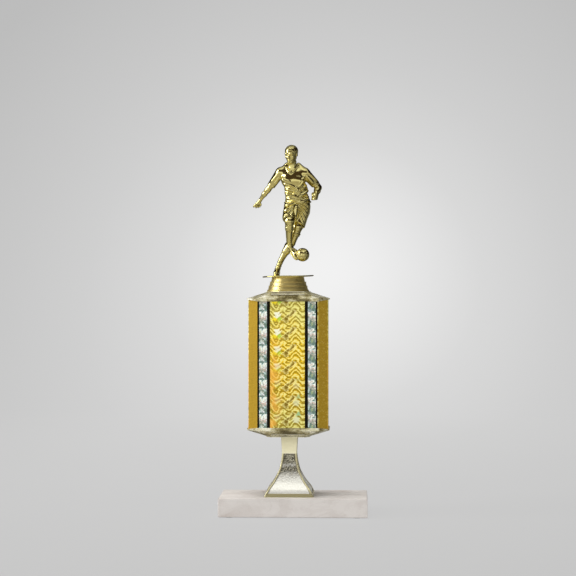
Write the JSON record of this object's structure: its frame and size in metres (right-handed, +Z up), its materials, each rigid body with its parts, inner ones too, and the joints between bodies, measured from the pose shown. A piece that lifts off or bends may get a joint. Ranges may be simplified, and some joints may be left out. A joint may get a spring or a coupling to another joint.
{
  "type": "figure trophy",
  "caption": "Figure trophy: a gilt football player on a ringed collar, over a film-wrapped octagonal column with lids, a square flared riser and a marble slab, clamped by one rod.",
  "frame": {"origin": "on the surface that the trophy stands on, under the middle of the slab", "axes": "+Z up, -Y the front, +X towards the player's left"},
  "size_m": [0.1524, 0.0762, 0.3819],
  "materials": {
    "slab": "polished beige and grey marble",
    "felt": "green felt",
    "zinc": "zinc plated",
    "gilt_pale": "pale vacuum-metallised gold plastic, pebbled and polished",
    "board": "plain grey-brown board",
    "film": "holographic gold film",
    "black_foil": "gloss black foil",
    "prism_foil": "silver prism foil",
    "gilt_brushed": "brushed gold metallised plastic",
    "gilt_bright": "bright gold metallised plastic"
  },
  "bodies": {
    "root": {"base_nut": "zinc", "base_washer": "zinc", "black_tape_front_left": "black_foil", "black_tape_front_right": "black_foil", "black_tape_rear_left": "black_foil", "black_tape_rear_right": "black_foil", "check_rod": "zinc", "column_tube": "board", "felt_pads": "felt", "figure_collar": "gilt_brushed", "gold_film": "film", "insert_nut": "zinc", "lower_lid": "gilt_pale", "marble_base": "slab", "player_figure": "gilt_bright", "riser": "gilt_pale", "silver_tape_front_left": "prism_foil", "silver_tape_front_right": "prism_foil", "silver_tape_rear_left": "prism_foil", "silver_tape_rear_right": "prism_foil", "soccer_ball": "gilt_bright", "tooth_washer": "zinc", "turf_plate": "gilt_bright", "upper_lid": "gilt_pale"}
  },
  "joints": []
}
